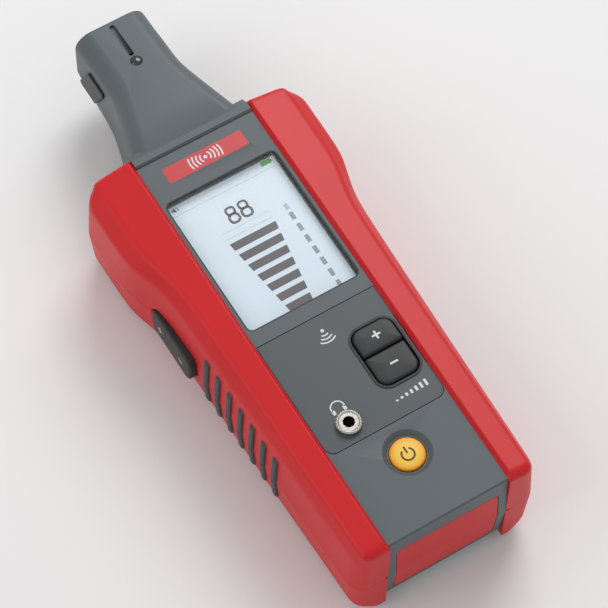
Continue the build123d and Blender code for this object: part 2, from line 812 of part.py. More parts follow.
sensor_board_y = root_y + 4.0
with BuildPart() as sensor_board:
    add(block((-sensor_board_half, sensor_board_y, board_height),
              (sensor_board_half, sensor_board_y + sensor_board_length, board_top)))
    add(block((-3, sensor_board_y + 5, board_top), (3, sensor_board_y + 10, board_top + connector_height)))
save(sensor_board.part, "sensor_board")

with BuildPart() as sensor_leads:
    lead_start = sensor_board_y + sensor_board_length - 2
    for x in (-lead_spacing / 2, lead_spacing / 2):
        lead_at = (x, lead_start, board_height - lead_radius)
        add(rod(lead_radius, sensor_back_y - lead_start, lead_at, "Y"))
save(sensor_leads.part, "sensor_leads")

board_high_y = display_high_y + 9.0
with BuildPart() as nose_ribbon:
    add(block((-nose_ribbon_half, board_high_y - 4, board_top),
              (nose_ribbon_half, sensor_board_y + 4, board_top + flex_thickness)))
save(nose_ribbon.part, "nose_ribbon")

# ---------------------------------------------------------------- display
active_low_y = display_mid_y - active_length / 2
with BuildPart() as display_bezel:
    with BuildSketch(Plane.XY.offset(glass_top)):
        with Locations((0, display_mid_y)):
            RectangleRounded(2 * display_half, display_length, bezel_corner)
            Rectangle(2 * active_half, active_length, mode=Mode.SUBTRACT)
    extrude(amount=glass_depth - window_recess - window_thickness)
    with BuildSketch(Plane.XY.offset(face_height - window_recess - window_thickness)):
        with Locations((0, display_mid_y)):
            RectangleRounded(2 * display_half, display_length, bezel_corner)
            RectangleRounded(
                2 * display_half - 0.8, display_length - 0.8, bezel_corner - 0.4, mode=Mode.SUBTRACT
            )
    extrude(amount=window_recess + window_thickness)
save(display_bezel.part, "display_bezel")

with BuildPart() as display_window:
    with BuildSketch(Plane.XY.offset(face_height - window_recess - window_thickness)):
        with Locations((0, display_mid_y)):
            RectangleRounded(2 * display_half - 0.8, display_length - 0.8, bezel_corner - 0.4)
    extrude(amount=window_thickness)
save(display_window.part, "display_window")

with BuildPart() as display_glass:
    with BuildSketch(Plane.XY.offset(glass_top - glass_thickness)):
        with Locations((0, display_mid_y)):
            Rectangle(2 * active_half + 2 * glass_margin, active_length + 2 * glass_margin)
    extrude(amount=glass_thickness)
save(display_glass.part, "display_glass")

with BuildPart() as backlight:
    with BuildSketch(Plane.XY.offset(glass_top - glass_thickness - backlight_thickness)):
        with Locations((0, display_mid_y)):
            RectangleRounded(2 * active_half + 2 * glass_margin, active_length + 2 * glass_margin, 1.0)
    extrude(amount=backlight_thickness)
save(backlight.part, "backlight")

with BuildPart() as display_ribbon:
    ribbon_y = display_mid_y - active_length / 2
    add(block((-flex_width / 2, ribbon_y, board_top),
              (flex_width / 2, ribbon_y + flex_thickness, glass_top - glass_thickness - backlight_thickness)))
save(display_ribbon.part, "display_ribbon")

with BuildPart() as badge_plate:
    with BuildSketch(Plane.XY.offset(face_height - badge_thickness)):
        with Locations((0, badge_y)):
            RectangleRounded(2 * badge_half, badge_length, 0.5)
    extrude(amount=badge_thickness)
save(badge_plate.part, "badge_plate")

# ---------------------------------------------------------------- controls
with BuildPart() as control_panel:
    with BuildSketch(Plane.XY.offset(face_height - panel_thickness)):
        with Locations((0, (panel_low_y + panel_high_y) / 2)):
            plate = Rectangle(2 * (face_half - panel_seam), panel_length - 2 * panel_seam)
        fillet(plate.vertices().group_by(Axis.Y)[0], panel_corner)
        with Locations((rocker_x, rocker_y)):
            RectangleRounded(rocker_width, rocker_length, rocker_corner, mode=Mode.SUBTRACT)
        with Locations((jack_x, jack_y)):
            Circle(bushing_radius, mode=Mode.SUBTRACT)
    extrude(amount=panel_thickness)
save(control_panel.part, "control_panel")

panel_under = face_height - panel_thickness
pin_z = panel_under - 2.0
key_width = rocker_width - 2 * (surround_wall + rocker_gap)
key_length = rocker_length - 2 * (surround_wall + rocker_gap)
with BuildPart() as rocker_surround:
    with BuildSketch(Plane.XY.offset(panel_under - skirt_depth)):
        with Locations((rocker_x, rocker_y)):
            RectangleRounded(
                rocker_width + 2 * skirt_wall, rocker_length + 2 * skirt_wall, rocker_corner
            )
    extrude(amount=skirt_depth)
    with BuildSketch(Plane.XY.offset(panel_under)):
        with Locations((rocker_x, rocker_y)):
            RectangleRounded(rocker_width, rocker_length, rocker_corner)
    extrude(amount=panel_thickness + surround_rise)
    with BuildSketch(Plane.XY.offset(panel_under - skirt_depth)):
        with Locations((rocker_x, rocker_y)):
            RectangleRounded(
                key_width + 2 * rocker_gap, key_length + 2 * rocker_gap, rocker_corner - surround_wall
            )
    extrude(amount=FAR, mode=Mode.SUBTRACT)
    add(rod(pin_radius, key_width + 2 * rocker_gap + 2.4,
            (rocker_x - key_width / 2 - rocker_gap - 1.2, rocker_y, pin_z), "X"), mode=Mode.SUBTRACT)
save(rocker_surround.part, "rocker_surround")

with BuildPart() as rocker_pin:
    add(rod(pin_radius, key_width + 2 * rocker_gap + 2.4,
            (rocker_x - key_width / 2 - rocker_gap - 1.2, rocker_y, pin_z), "X"))
save(rocker_pin.part, "rocker_pin")

foot_low = board_top + switch_height + plunger_height + 0.5
with BuildPart() as sensitivity_key:
    with BuildSketch(Plane.XY.offset(face_height - rocker_depth)):
        with Locations((rocker_x, rocker_y)):
            RectangleRounded(key_width, key_length, rocker_corner - surround_wall - rocker_gap)
    extrude(amount=rocker_depth + rocker_rise)
    fillet(sensitivity_key.faces().sort_by(Axis.Z)[-1].edges(), 1.0)
    add(block((-FAR, -FAR, face_height + rocker_rise - rocker_step), (FAR, rocker_y + 0.8, FAR)),
        mode=Mode.SUBTRACT)
    for shift in (-switch_offset, switch_offset):
        add(rod(1.5, face_height - rocker_depth - foot_low + 0.5, (rocker_x, rocker_y + shift, foot_low)))
    add(rod(pin_radius + hinge_clearance, FAR, (-FAR / 2, rocker_y, pin_z), "X"), mode=Mode.SUBTRACT)
save(sensitivity_key.part, "sensitivity_key")


def tact_switch(at, axis="Z"):
    """Square push switch with its round plunger, standing on the point at."""
    half = switch_size / 2
    with BuildPart() as switch:
        add(block((-half, -half, 0), (half, half, switch_height)))
        add(rod(plunger_radius, plunger_height, (0, 0, switch_height)))
    turn = Rot(0, -90, 0) if axis == "-X" else Rot(0, 0, 0)
    return Pos(*at) * turn * switch.part


rocker_switches = [tact_switch((rocker_x, rocker_y + s, board_top)) for s in (-switch_offset, switch_offset)]
save(Compound(rocker_switches), "sensitivity_switches")
save(tact_switch((0, power_y, board_top)), "power_switch")

with BuildPart() as power_button:
    button_top = face_height - power_top_drop
    add(rod(power_radius, button_top - face_under + 1.6, (0, power_y, face_under - 1.6)))
    fillet(power_button.faces().sort_by(Axis.Z)[-1].edges(), 0.6)
    add(rod(power_radius + slip + power_flange, power_flange, (0, power_y, face_under - slip - power_flange)))
    stem_low = board_top + switch_height + plunger_height + power_travel + 0.1
    add(rod(stem_radius, face_under - stem_low - 1, (0, power_y, stem_low)))
save(power_button.part, "power_button")

jack_bottom = face_under - jack_body_depth
bushing_top = face_height + bushing_rise
with BuildPart() as headphone_jack:
    half = jack_body_size / 2
    add(block((jack_x - half, jack_y - half, jack_bottom), (jack_x + half, jack_y + half, face_under)))
    fillet(headphone_jack.edges().filter_by(Axis.Z), 0.8)
    add(rod(bushing_radius, FAR, (jack_x, jack_y, bushing_top - jack_bore_depth)), mode=Mode.SUBTRACT)
save(headphone_jack.part, "headphone_jack")

with BuildPart() as jack_bushing:
    add(rod(bushing_radius, jack_bore_depth, (jack_x, jack_y, bushing_top - jack_bore_depth)))
    add(rod(jack_bore, FAR, (jack_x, jack_y, 0)), mode=Mode.SUBTRACT)
save(jack_bushing.part, "jack_bushing")

with BuildPart() as jack_nut:
    with BuildSketch(Plane.XY.offset(face_height)):
        with Locations((jack_x, jack_y)):
            Circle(nut_radius)
            with PolarLocations(nut_radius + 0.15, nut_flutes):
                Circle(0.35, mode=Mode.SUBTRACT)
            Circle(bushing_radius, mode=Mode.SUBTRACT)
    extrude(amount=nut_height)
save(jack_nut.part, "jack_nut")

# ---------------------------------------------------------------- volume rocker
with BuildPart() as volume_key:
    outer_x = volume_x - volume_rise
    with BuildSketch(Plane.YZ.offset(outer_x)):
        with Locations((volume_y, (volume_low_z + volume_high_z) / 2)):
            RectangleRounded(volume_length, volume_height, volume_corner)
    extrude(amount=volume_rise + volume_depth)
    fillet(volume_key.faces().sort_by(Axis.X)[0].edges(), 0.9)
    with BuildSketch(Plane.XY):
        with Locations((outer_x - 1.2, volume_y)):
            Circle(volume_waist_radius)
    extrude(amount=FAR, mode=Mode.SUBTRACT)
    foot_x = volume_switch_x - switch_height - plunger_height - 0.5
    for shift in (-switch_offset, switch_offset):
        add(rod(1.5, foot_x - volume_x - volume_depth + 0.5,
                (volume_x + volume_depth - 0.5, volume_y + shift, volume_mid_z), "X"))
    add(rod(pin_radius + hinge_clearance, FAR, (volume_pin_x, volume_y, 0)), mode=Mode.SUBTRACT)
save(volume_key.part, "volume_key")

with BuildPart() as volume_pin:
    add(rod(pin_radius, volume_pin_top - volume_pin_low, (volume_pin_x, volume_y, volume_pin_low)))
save(volume_pin.part, "volume_pin")

with BuildPart() as volume_board:
    add(block((volume_switch_x, volume_y - volume_length / 2, volume_low_z),
              (volume_switch_x + board_thickness, volume_y + volume_length / 2, board_height)))
save(volume_board.part, "volume_board")
volume_switches = [
    tact_switch((volume_switch_x, volume_y + s, volume_mid_z), "-X") for s in (-switch_offset, switch_offset)
]
save(Compound(volume_switches), "volume_switches")

# ---------------------------------------------------------------- main board
board_low_y = heel_y + 10.0
with BuildPart() as main_board:
    with BuildSketch(Plane.XY.offset(board_height)):
        with BuildLine():
            Polyline(
                (-board_neck_half, board_low_y), (board_neck_half, board_low_y),
                (board_neck_half, heel_y + heel_screw_from_heel + 6),
                (board_half, heel_y + heel_screw_from_heel + 10),
                (board_half, board_high_y), (-board_half, board_high_y),
                (-board_half, heel_y + heel_screw_from_heel + 10),
                (-board_neck_half, heel_y + heel_screw_from_heel + 6), close=True,
            )
        make_face()
        with Locations((jack_x, jack_y)):
            Rectangle(jack_body_size + 2 * slip, jack_body_size + 2 * slip, mode=Mode.SUBTRACT)
        with Locations(*post_places):
            Circle(board_hole_radius, mode=Mode.SUBTRACT)
    extrude(amount=board_thickness)
save(main_board.part, "main_board")

# processor, amplifier, coil and connector on the upper side, as separate blocks
component_sizes = [
    ((-12.0, display_low_y + 14.0), (10.0, 10.0, 1.4)),
    ((4.0, display_low_y + 12.0), (7.0, 7.0, 1.2)),
    ((12.0, display_low_y + 30.0), (8.0, 5.0, 2.2)),
    ((-8.0, display_low_y + 34.0), (6.0, 6.0, 2.6)),
    ((-13.0, panel_low_y + 18.0), (5.0, 8.0, 2.0)),
]
components = [
    block((x - w / 2, y - d / 2, board_top), (x + w / 2, y + d / 2, board_top + h))
    for (x, y), (w, d, h) in component_sizes
]
save(Compound(components), "board_components")

with BuildPart() as sounder:
    with BuildSketch(Plane.XY.offset(board_height)):
        with Locations((0, display_high_y + 1)):
            Circle(sounder_radius)
    extrude(amount=-sounder_height)
    with BuildSketch(Plane.XY.offset(board_height - sounder_height)):
        with Locations((0, display_high_y + 1)):
            Circle(sounder_hole)
    extrude(amount=1.5, mode=Mode.SUBTRACT)
save(sounder.part, "sounder")

board_screw_solids = [
    rod(board_screw_head, board_screw_head_height, (x, y, board_height - board_screw_head_height))
    + rod(board_screw_radius, board_screw_length, (x, y, board_height - 0.2))
    for x, y in post_places
]
save(Compound(board_screw_solids), "board_screws")

# ---------------------------------------------------------------- batteries and door
cell_solids = []
for column in (-1, 1):
    for row in (0, 1):
        start = well_low_y + contact_space + row * (cell_length + cell_nub_length)
        x, z = column * cell_pitch / 2, cell_floor + cell_radius
        with BuildPart() as cell:
            add(rod(cell_radius, cell_length, (x, start, z), "Y"))
            fillet(cell.edges(), 0.5)
            add(rod(cell_nub_radius, cell_nub_length, (x, start + cell_length, z), "Y"))
        cell_solids.append(cell.part.solids()[0])
save(Compound(cell_solids), "batteries")

plate_low, plate_high = cell_floor + 2.0, cell_floor + 2 * cell_radius - 2.0
plates = [
    block((x - 4.5, well_low_y, plate_low), (x + 4.5, well_low_y + contact_thickness, plate_high))
    for x in (-cell_pitch / 2, cell_pitch / 2)
]
plates.append(
    block((-cell_pitch / 2 - 4.5, well_high_y - contact_thickness, plate_low),
          (cell_pitch / 2 + 4.5, well_high_y, plate_high))
)
save(Compound(plates), "contact_plates")

# Each spring is a stack of turns that narrows towards the cell
springs = []
for x in (-cell_pitch / 2, cell_pitch / 2):
    coil_space = contact_space - contact_thickness
    with BuildPart() as spring:
        at = (x, well_low_y + contact_thickness, cell_floor + cell_radius)
        for k, radius in enumerate((3.6, 3.2, 2.8)):
            ring_start = (at[0], at[1] + k * coil_space / 3, at[2])
            add(rod(radius, coil_space / 3, ring_start, "Y"))
        add(rod(1.9, FAR, (at[0], at[1] - 1, at[2]), "Y"), mode=Mode.SUBTRACT)
    springs.append(spring.part.solids()[0])
save(Compound(springs), "contact_springs")

with BuildPart() as battery_door:
    add(block((-door_half, door_low_y, door_recess), (door_half, door_high_y, door_top)))
    fillet(battery_door.edges().filter_by(Axis.Z), 1.5)
    for x in (-well_half / 2, well_half / 2):
        add(block((x - tongue_width / 2, door_high_y - 3.0, door_top - tongue_thickness),
                  (x + tongue_width / 2, door_high_y, door_top + tongue_thickness)))
        add(block((x - tongue_width / 2, door_high_y - 3.0, door_top + slip),
                  (x + tongue_width / 2, door_high_y + tongue_length, door_top + slip + tongue_thickness)))
    add(rod(door_screw_radius + 0.15, FAR, (0, door_screw_y, -1)), mode=Mode.SUBTRACT)
    add(rod(door_screw_head + 0.15, door_screw_head_height + 0.2 + 1 + door_recess, (0, door_screw_y, -1)),
        mode=Mode.SUBTRACT)
save(battery_door.part, "battery_door")

with BuildPart() as door_screw:
    head_z = door_recess + 0.15
    add(rod(door_screw_head, door_screw_head_height, (0, door_screw_y, head_z)))
    add(rod(door_screw_radius, door_screw_length - door_screw_head_height,
            (0, door_screw_y, head_z + door_screw_head_height)))
    add(block((-door_screw_head, door_screw_y - 0.35, head_z - 1),
              (door_screw_head, door_screw_y + 0.35, head_z + 0.6)), mode=Mode.SUBTRACT)
save(door_screw.part, "door_screw")

case_screw_solids = []
for x, y in screw_places:
    with BuildPart() as screw:
        add(rod(screw_head, screw_head_height, (x, y, screw_recess)))
        add(rod(screw_radius, screw_length, (x, y, screw_recess + screw_head_height - 0.2)))
        add(block((x - 1.8, y - 0.35, screw_recess - 1), (x + 1.8, y + 0.35, screw_recess + 0.8)),
            mode=Mode.SUBTRACT)
        add(block((x - 0.35, y - 1.8, screw_recess - 1), (x + 0.35, y + 1.8, screw_recess + 0.8)),
            mode=Mode.SUBTRACT)
    case_screw_solids.append(screw.part.solids()[0])
save(Compound(case_screw_solids), "case_screws")
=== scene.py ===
from math import cos, pi, radians, sin

import bmesh
import bpy
import numpy as np
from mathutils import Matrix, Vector


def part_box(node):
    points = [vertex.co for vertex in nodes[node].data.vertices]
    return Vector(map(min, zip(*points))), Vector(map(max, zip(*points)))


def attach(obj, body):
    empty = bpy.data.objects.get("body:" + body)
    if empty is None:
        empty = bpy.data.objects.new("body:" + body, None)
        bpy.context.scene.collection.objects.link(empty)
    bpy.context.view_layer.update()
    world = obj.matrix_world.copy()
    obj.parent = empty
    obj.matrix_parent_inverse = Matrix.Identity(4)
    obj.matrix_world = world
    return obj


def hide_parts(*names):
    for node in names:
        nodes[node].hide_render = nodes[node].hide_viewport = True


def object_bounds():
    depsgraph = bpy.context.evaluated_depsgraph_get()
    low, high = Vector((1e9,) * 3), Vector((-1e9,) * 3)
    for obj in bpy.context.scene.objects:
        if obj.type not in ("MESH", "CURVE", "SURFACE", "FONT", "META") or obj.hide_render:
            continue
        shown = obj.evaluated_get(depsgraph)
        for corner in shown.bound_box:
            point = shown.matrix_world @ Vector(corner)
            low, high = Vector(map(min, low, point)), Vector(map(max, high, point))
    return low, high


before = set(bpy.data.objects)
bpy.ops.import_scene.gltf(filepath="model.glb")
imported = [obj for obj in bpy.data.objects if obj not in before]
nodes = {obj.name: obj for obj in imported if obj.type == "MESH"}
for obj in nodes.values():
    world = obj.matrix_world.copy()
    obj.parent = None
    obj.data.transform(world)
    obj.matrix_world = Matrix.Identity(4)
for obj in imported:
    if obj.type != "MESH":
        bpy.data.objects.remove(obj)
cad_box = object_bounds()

mm = 0.001

# ---------------------------------------------------------------- studio
# A pale matt floor under a soft white sky, a large key light from the nose's right
# and a weaker one from the left. The camera looks down from the heel's left.
camera = bpy.data.objects.new("camera", bpy.data.cameras.new("camera"))
camera.location = (-0.2328, -0.3787, 0.8619)
camera.rotation_euler = (radians(27.551), radians(-0.775), radians(-31.340))
camera.data.lens = 187.9
camera.data.sensor_width = 36.0
camera.data.clip_start = 0.05
bpy.context.scene.collection.objects.link(camera)
bpy.context.scene.camera = camera

world = bpy.data.worlds.new("studio")
world.use_nodes = True
sky = world.node_tree.nodes["Background"]
sky.inputs["Color"].default_value = (1.0, 1.0, 1.0, 1.0)
sky.inputs["Strength"].default_value = 0.5
bpy.context.scene.world = world
bpy.context.scene.view_settings.view_transform = "Standard"


def softbox(name, place, aim, size, power):
    """Square lamp at place, turned to face aim."""
    lamp = bpy.data.lights.new(name, "AREA")
    lamp.size = size
    lamp.energy = power
    box = bpy.data.objects.new(name, lamp)
    box.location = place
    direction = [a - p for a, p in zip(aim, place)]
    box.rotation_euler = Vector(direction).to_track_quat("-Z", "Y").to_euler()
    bpy.context.scene.collection.objects.link(box)


softbox("key_light", (0.62, 0.62, 0.95), (0, 0, 0.02), 0.7, 7.5)
softbox("fill_light", (-0.75, 0.1, 0.7), (0, 0, 0.02), 0.6, 1.6)


def skins(name, grids, ends=True):
    """Closed surfaces in one mesh: each grid of points in millimetres is rows by columns
    by xyz, its last column is joined to its first, and ends closes both end rows."""
    points, faces, start = [], [], 0
    for grid in grids:
        rows, columns = grid.shape[:2]
        index = np.arange(rows * columns).reshape(rows, columns) + start
        right = np.roll(index, -1, axis=1)
        quads = np.stack([index[:-1], right[:-1], right[1:], index[1:]], axis=-1)
        faces += [tuple(f) for f in quads.reshape(-1, 4)]
        if ends:
            faces += [tuple(index[0, ::-1]), tuple(index[-1])]
        points.append(grid.reshape(-1, 3))
        start += rows * columns
    return shape(name, np.concatenate(points), faces)


def shape(name, points, faces):
    """Mesh object from points in millimetres and faces, smooth, with its faces turned outwards."""
    mesh = bpy.data.meshes.new(name)
    corners = [tuple(p) for p in np.asarray(points) * mm]
    mesh.from_pydata(corners, [], [tuple(int(i) for i in f) for f in faces])
    work = bmesh.new()
    work.from_mesh(mesh)
    bmesh.ops.remove_doubles(work, verts=work.verts, dist=1e-7)
    bmesh.ops.recalc_face_normals(work, faces=work.faces)
    work.to_mesh(mesh)
    work.free()
    mesh.shade_smooth()
    mesh.set_sharp_from_angle(angle=radians(35))
    made = bpy.data.objects.new(name, mesh)
    bpy.context.scene.collection.objects.link(made)
    return made


floor_half = 4000
floor_corners = [(x * floor_half, y * floor_half, 0) for x, y in ((-1, -1), (1, -1), (1, 1), (-1, 1))]
floor = shape("floor", floor_corners, [(0, 1, 2, 3)])


class Value:
    """A socket in a shader. Arithmetic on it adds Math nodes."""

    def __init__(self, paint, socket):
        self.paint = paint
        self.socket = socket

    def _math(self, operation, first, second=0.0):
        return self.paint.add("ShaderNodeMath", {"operation": operation}, {0: first, 1: second})

    def __add__(self, other):
        return self._math("ADD", self, other)

    def __sub__(self, other):
        return self._math("SUBTRACT", self, other)

    def __rsub__(self, other):
        return self._math("SUBTRACT", other, self)

    def __mul__(self, other):
        return self._math("MULTIPLY", self, other)

    def __gt__(self, other):
        return self._math("GREATER_THAN", self, other)

    def __lt__(self, other):
        return self._math("LESS_THAN", self, other)

    __radd__ = __add__
    __rmul__ = __mul__

    def power(self, other):
        return self._math("POWER", self, other)


class Paint:
    """A material: one Principled shader, with plain numbers set on it and nodes feeding it."""

    def __init__(self, name, **uniform):
        self.material = bpy.data.materials.new(name)
        self.material.use_nodes = True
        self.tree = self.material.node_tree
        self.shader = self.tree.nodes["Principled BSDF"]
        for socket, value in uniform.items():
            self.shader.inputs[socket.replace("_", " ")].default_value = value
        self.place = None

    def add(self, kind, settings=None, inputs=None, output=0):
        """Node of that kind: its settings first, then the values or links of its sockets."""
        node = self.tree.nodes.new(kind)
        for setting, value in (settings or {}).items():
            if setting == "stops":
                for element, (at, colour) in zip(node.color_ramp.elements, value):
                    element.position = at
                    element.color = colour
            else:
                setattr(node, setting, value)
        for socket, value in (inputs or {}).items():
            if isinstance(value, Value):
                self.tree.links.new(value.socket, node.inputs[socket])
            else:
                node.inputs[socket].default_value = value
        return Value(self, node.outputs[output])

    def noise(self, size, detail=2.0, rough=0.5):
        """Cloudy pattern from 0 to 1 whose features are about size millimetres across."""
        if self.place is None:
            self.place = self.add("ShaderNodeTexCoord", output="Object")
        return self.add(
            "ShaderNodeTexNoise",
            None,
            {"Vector": self.place, "Scale": 1.0 / (size * mm), "Detail": detail, "Roughness": rough},
        )

    def blend(self, factor, first, second):
        """Colour that goes from first to second as factor goes from 0 to 1."""
        return self.add(
            "ShaderNodeMix", {"data_type": "RGBA"}, {0: factor, 6: first, 7: second}, output=2
        )

    def feed(self, socket, value):
        self.tree.links.new(value.socket, self.shader.inputs[socket])

    def bump(self, height, depth, strength=1.0):
        """Small relief, depth millimetres from the lowest to the highest point of height."""
        relief = self.add(
            "ShaderNodeBump", None, {"Height": height, "Distance": depth * mm, "Strength": strength},
            output=0,
        )
        self.feed("Normal", relief)

    def wear(self, *objects):
        """Puts the material on objects, in place of what they had."""
        for thing in objects:
            thing.data.materials.clear()
            thing.data.materials.append(self.material)


def colour(red, green, blue):
    """Linear colour from the 0 to 255 values that a colour picker shows."""
    parts = [((c / 255 + 0.055) / 1.055) ** 2.4 if c > 10 else c / 255 / 12.92 for c in (red, green, blue)]
    return (*parts, 1.0)


backdrop = Paint("pale_floor", Roughness=0.9)
backdrop.shader.inputs["Base Color"].default_value = (0.93, 0.93, 0.93, 1.0)
backdrop.wear(floor)

def plain_paint(name, dark, light, size, rough, relief=0.0, **uniform):
    """Paint whose colour drifts between two tones in patches of about size millimetres."""
    paint = Paint(name, Roughness=rough, **uniform)
    patches = paint.noise(size)
    paint.feed("Base Color", paint.blend(patches, colour(*dark), colour(*light)))
    if relief:
        paint.bump(patches, relief, 0.6)
    return paint


# ---------------------------------------------------------------- red grips
# Soft-touch rubber moulded over the grey shells: a broad rail each side of the face,
# a soft crease, a sloping shoulder and a side wall down to the parting line.
low, high = (np.array(c) / mm for c in cad_box)
heel = low[1]
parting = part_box("front_case")[0].z / mm
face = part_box("control_panel")[1].z / mm
rail_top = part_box("left_front_grip")[1].z / mm
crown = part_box("left_front_grip")[1].y / mm
shoulder_half = high[0]
face_half = 20.1
waist_y = 7.7
side_lean, back_lean = np.tan(radians(3.4)), np.tan(radians(5.0))
crease = 36.5
red_floor = 3.0
end_wall = 2.4


def soft_max(a, b, width):
    """The larger of two arrays, with the corner between them rounded over about width."""
    return (a + b + np.sqrt((a - b) ** 2 + width**2)) / 2


def soft_min(a, b, width):
    """The smaller of two arrays, with the corner between them rounded over about width."""
    return -soft_max(-a, -b, width)


def side_half(y):
    """Half width at the parting line: the handle's slow flare, the waist, then the shoulders."""
    handle = 33.8 + (y - waist_y) * 0.0261
    ramp = 33.8 + (y - waist_y) * 0.3406
    return soft_min(soft_max(handle, ramp, 1.6), shoulder_half + 0 * y, 1.2) - 0.05


def side_surface(y, z):
    """Half width at height z: the wall leans in above and below the parting line."""
    return side_half(y) - np.where(z > parting, (z - parting) * side_lean, (parting - z) * back_lean)


def rail_half(y):
    """Half width of the rail's flat top, out to its soft crease."""
    handle = 29.0 + (y + 10) * 0.010
    ramp = 30.4 + (y - 9.0) * 0.27
    return soft_min(soft_max(handle, ramp, 1.6), 33.0 + 0 * y, 1.2)


def end_round(y, reach, end_y, depth):
    """How far a surface has turned in by y: a quarter ellipse of depth over the last reach."""
    along = np.clip(1 - np.abs(y - end_y) / reach, 0, 1)
    return depth * (1 - np.sqrt(1 - along**2))


def stations(reach=7.5):
    """Places along Y for the grips' sections, closer together at both ends."""
    turn = reach * (1 - np.cos(np.linspace(0, pi / 2, 22)))
    middle = np.linspace(heel + reach, crown - reach, 120)
    return np.concatenate([heel + turn[:-1], middle, crown - turn[::-1][1:]])


def soften(section, passes=3):
    """Rounds an outline held as columns of points: each pass cuts every corner at a
    quarter and three quarters of its edges."""
    for _ in range(passes):
        after = np.roll(section, -1, axis=1)
        pair = np.stack([0.75 * section + 0.25 * after, 0.25 * section + 0.75 * after], axis=2)
        section = pair.reshape(section.shape[0], -1, section.shape[2])
    return section


def corner(before, at, after, reach):
    """Three points that keep a corner's rounding within reach of it."""
    def toward(goal):
        gap = goal - at
        length = np.linalg.norm(gap, axis=-1, keepdims=True)
        return at + gap / length * np.minimum(reach, length * 0.45)

    return [toward(before), at, toward(after)]


def section_loop(corners, reaches):
    """Closed outline for every station, from corner points and how far each is rounded."""
    count = len(corners)
    loop = []
    for k, reach in enumerate(reaches):
        loop += corner(corners[k - 1], corners[k], corners[(k + 1) % count], reach)
    return soften(np.stack(loop, axis=1))


def grip(side, upper):
    """Grip half: at each station a closed section of the rubber, x and z worked out from y.

    Over the last millimetres at each end the section fills in towards the face, which is
    the rubber's end wall.
    """
    y = stations()
    turn_in = end_round(y, 7.5, crown, 7.5) + end_round(y, 5.5, heel, 4.2)
    drop = end_round(y, 2.6, crown, 2.2) + end_round(y, 3.2, heel, 2.6)
    out = side_half(y) - turn_in
    to_end = np.minimum(y - heel, crown - y)
    fill = np.clip((end_wall - to_end) / 0.4, 0, 1)

    def point(x, z):
        return np.stack([x + 0 * y, z + 0 * y], axis=-1)

    def inner(x, kept):
        return x + (face_half + kept - x) * fill

    if upper:
        top = np.minimum(rail_half(y), out - 1.6)
        outer = out - (crease - parting) * side_lean - 0.25 * drop
        rail_inner = face_half + 1.2
        corners = [
            point(inner(face_half, 0), parting + 14 - 13.9 * fill),
            point(face_half, face - 0.2 * drop),
            point(rail_inner, rail_top - 0.2 - drop),
            point(top, rail_top - (top - 21.3) * 0.207 - drop),
            point(outer, crease - 0.6 * drop),
            point(out, parting + 0.06),
            point(inner(out - 1.8, 1.2), parting + 0.06),
            point(inner(outer - 2.2, 0.6), crease - 3.0 - 12 * fill),
        ]
        section = section_loop(corners, [0.2, 0.15, 0.5, 2.6, 3.2, 0.25, 0.2, 0.5])
    else:
        lean = out - (parting - 6.0) * back_lean
        corners = [
            point(inner(out - 1.8, 0), parting - 0.06),
            point(out, parting - 0.06),
            point(lean, 6.0 + 0.5 * drop),
            point(lean - 3.0, red_floor + 0.03),
            point(inner(lean - 4.6, 0), red_floor + 0.03),
            point(inner(lean - 2.2, 0), 8.0),
        ]
        section = section_loop(corners, [0.2, 0.25, 2.4, 0.4, 0.2, 0.5])
    grid = np.empty((len(y), section.shape[1], 3))
    grid[..., 0] = side * section[..., 0]
    grid[..., 1] = y[:, None]
    grid[..., 2] = section[..., 1]
    return grid


def rounded_rim(half_a, half_b, radii, inset=0.0, count=12):
    """Rounded rectangle moved in by inset; radii go round from the corner at +a, +b."""
    rim = []
    for k, (sign_a, sign_b) in enumerate(((1, 1), (-1, 1), (-1, -1), (1, -1))):
        radius = max(radii[k] - inset, 0.08)
        turn = np.radians(np.linspace(90 * k, 90 * k + 90, count))
        rim.append(np.column_stack([
            sign_a * (half_a - inset - radius) + radius * np.cos(turn),
            sign_b * (half_b - inset - radius) + radius * np.sin(turn),
        ]))
    return np.concatenate(rim)


def slab(rim, z_low, z_high):
    """Flat closed grid of an outline: its rim at z_low and at z_high."""
    ring = np.asarray(rim, float)
    return np.stack([np.column_stack([ring, np.full(len(ring), z)]) for z in (z_low, z_high)])


def cut(piece, grid):
    """Takes a closed form out of a piece for good and removes the form."""
    tool = skins("cutting_form", [grid])
    step = piece.modifiers.new("opening", "BOOLEAN")
    step.operation = "DIFFERENCE"
    step.object = tool
    step.solver = "EXACT"
    bpy.context.view_layer.update()
    depsgraph = bpy.context.evaluated_depsgraph_get()
    cut_mesh = bpy.data.meshes.new_from_object(piece.evaluated_get(depsgraph))
    piece.modifiers.clear()
    piece.data = cut_mesh
    cut_mesh.name = piece.name
    spare = tool.data
    bpy.data.objects.remove(tool)
    bpy.data.meshes.remove(spare)


red = Paint("red_soft_touch", Roughness=0.42, Specular_IOR_Level=0.45)
patch = red.noise(30.0, 1.0)
grain = red.noise(0.28, 2.0)
red.feed("Base Color", red.blend(patch, colour(206, 12, 22), colour(218, 18, 28)))
red.feed("Roughness", grain * 0.16 + 0.36)
red.bump(grain, 0.012, 0.5)

volume_box = [np.array(c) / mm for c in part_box("volume_key")]
volume_y, volume_z = (volume_box[0][1:] + volume_box[1][1:]) / 2
volume_half_y, volume_half_z = (volume_box[1][1:] - volume_box[0][1:]) / 2
opening = slab(rounded_rim(volume_half_y + 0.4, volume_half_z + 0.4, (3.2,) * 4), -60.0, -20.0)
opening = opening[..., [2, 0, 1]] + (0, volume_y, volume_z)

for side, hand in ((-1, "left"), (1, "right")):
    for upper, end in ((True, "front"), (False, "rear")):
        piece = skins(f"{hand}_{end}_overmould", [grip(side, upper)])
        if side < 0:
            cut(piece, opening)
        red.wear(piece)
        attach(piece, "body")
        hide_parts(f"{hand}_{end}_grip")

